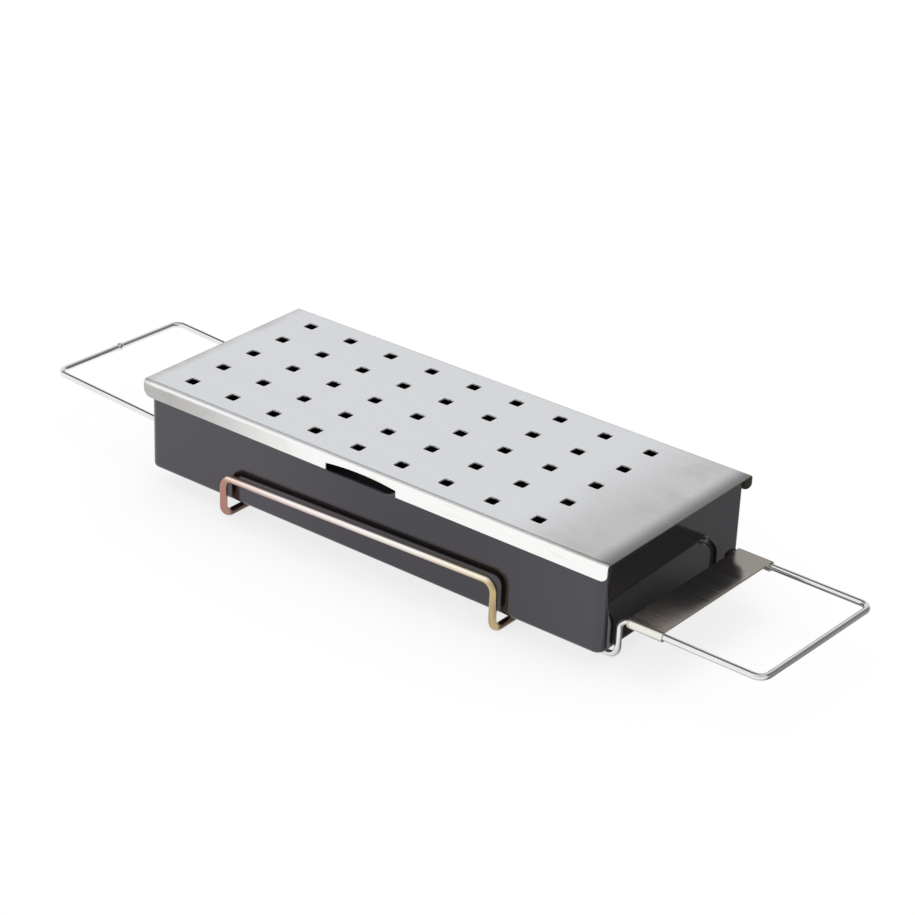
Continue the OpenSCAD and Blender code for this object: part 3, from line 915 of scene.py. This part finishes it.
def softbox(name, place, aim, size, power):
    """Area lamp that faces a point and isn't seen in reflections, lengths in metres."""
    data = bpy.data.lights.new(name, "AREA")
    data.shape, data.size, data.size_y, data.energy = "RECTANGLE", size[0], size[1], power
    lamp = bpy.data.objects.new(name, data)
    lamp.location = place
    lamp.rotation_mode = "QUATERNION"
    lamp.rotation_quaternion = (Vector(aim) - Vector(place)).to_track_quat("-Z", "Y")
    lamp.visible_glossy = False
    bpy.context.scene.collection.objects.link(lamp)


def floor_material():
    """Grey where shadows fall, and glowing white to the camera and in reflections. Beyond the plate
    end reflections show it nearly dark."""
    n = material_nodes("floor")
    n.tree.nodes.remove(n.shader)
    y = n.axis("Y")
    # painted shade in reflections: beyond the plate end the floor glows less to glossy rays
    dim = n.times(n.zone(y, -60, -35), n.zone(y, 20, 85, 1.0, 0.86))
    dim = n.times(dim, n.zone(n.axis("X"), 120, 140))
    path = n.add("ShaderNodeLightPath")
    mirrored = n.times(path.outputs["Is Glossy Ray"], n.math("SUBTRACT", 1.0, dim))
    seen = n.math("MAXIMUM", path.outputs["Is Camera Ray"], mirrored)
    diffuse = n.add("ShaderNodeBsdfDiffuse")
    n.feed(diffuse.inputs["Color"], (FLOOR_GREY,) * 3)
    glow = n.add("ShaderNodeEmission")
    n.feed(glow.inputs["Strength"], n.times(seen, FLOOR_GLOW))
    both = n.add("ShaderNodeAddShader")
    n.feed(both.inputs[0], diffuse.outputs[0])
    n.feed(both.inputs[1], glow.outputs[0])
    n.feed(n.existing("OUTPUT_MATERIAL").inputs["Surface"], both.outputs[0])
    return n.owner


def white_floor():
    """Square floor on the ground."""
    half = FLOOR_SIDE / 2
    mesh = bpy.data.meshes.new("floor")
    corners = [(-half, -half, 0), (half, -half, 0), (half, half, 0), (-half, half, 0)]
    mesh.from_pydata(corners, [], [(0, 1, 2, 3)])
    mesh.materials.append(floor_material())
    floor = bpy.data.objects.new("floor", mesh)
    bpy.context.scene.collection.objects.link(floor)


def studio_world():
    """Even light all round. Reflections also show the studio's darker places."""
    n = Nodes(bpy.data.worlds.new("studio"), "BACKGROUND", "Generated")
    bpy.context.scene.world = n.owner

    def patch(toward, inner, outer, depth):
        """Factor from 1 down to 1 - depth inside a cone round a direction, angles in degrees."""
        dot = n.add("ShaderNodeVectorMath", operation="DOT_PRODUCT")
        n.feed(dot.inputs[0], n.where)
        n.feed(dot.inputs[1], Vector(toward).normalized())
        border, core = math.cos(math.radians(outer)), math.cos(math.radians(inner))
        return n.span(dot.outputs["Value"], border, core, 1.0, 1 - depth, True)

    overhead = patch((-0.534, 0.24, 0.81), 19, 25, 0.95)
    horizon = patch((-0.5, 0.86, 0.08), 8, 17, 0.7)
    back_right = patch((0.62, 0.66, 0.42), 26, 48, 0.78)
    back_left = patch((-0.5, 0.75, 0.45), 20, 60, 0.16)
    front_right = patch((0.66, -0.66, 0.35), 25, 60, 0.24)
    above = patch((0.1, 0.1, 0.99), 12, 50, 0.36)
    mirrored = overhead
    for darker in (horizon, back_right, back_left, front_right, above):
        mirrored = n.times(mirrored, darker)
    path = n.add("ShaderNodeLightPath")
    strength = n.choose(path.outputs["Is Glossy Ray"], EVEN_LIGHT, mirrored)
    strength = n.choose(path.outputs["Is Camera Ray"], strength, 1.0)
    n.fill(n.shader, {"Color": (1, 1, 1), "Strength": strength})


def light_studio():
    """Soft light: the world, and one large softbox overhead."""
    studio_world()
    softbox("key", (-0.1, 0.3, 1.7), (0, 0, 0), (0.9, 1.2), 4.0)


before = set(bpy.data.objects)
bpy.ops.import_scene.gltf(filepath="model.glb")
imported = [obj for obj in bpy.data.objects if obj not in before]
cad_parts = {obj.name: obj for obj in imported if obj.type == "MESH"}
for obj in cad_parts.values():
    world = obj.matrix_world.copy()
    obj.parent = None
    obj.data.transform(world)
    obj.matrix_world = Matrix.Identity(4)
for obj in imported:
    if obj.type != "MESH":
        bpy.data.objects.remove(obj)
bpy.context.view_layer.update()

build_tray(enamel())
build_lid(lid_steel())
build_handle_loop(handle_chrome())
build_rail_loop(rail_chrome())
build_grip_plate(plate_steel())
bead_metal = weld_metal()
build_cross_welds(bead_metal)
build_handle_weld(bead_metal)
build_rail_weld(bead_metal)

white_floor()
light_studio()
point_camera()
bpy.context.scene.view_settings.view_transform = "Standard"
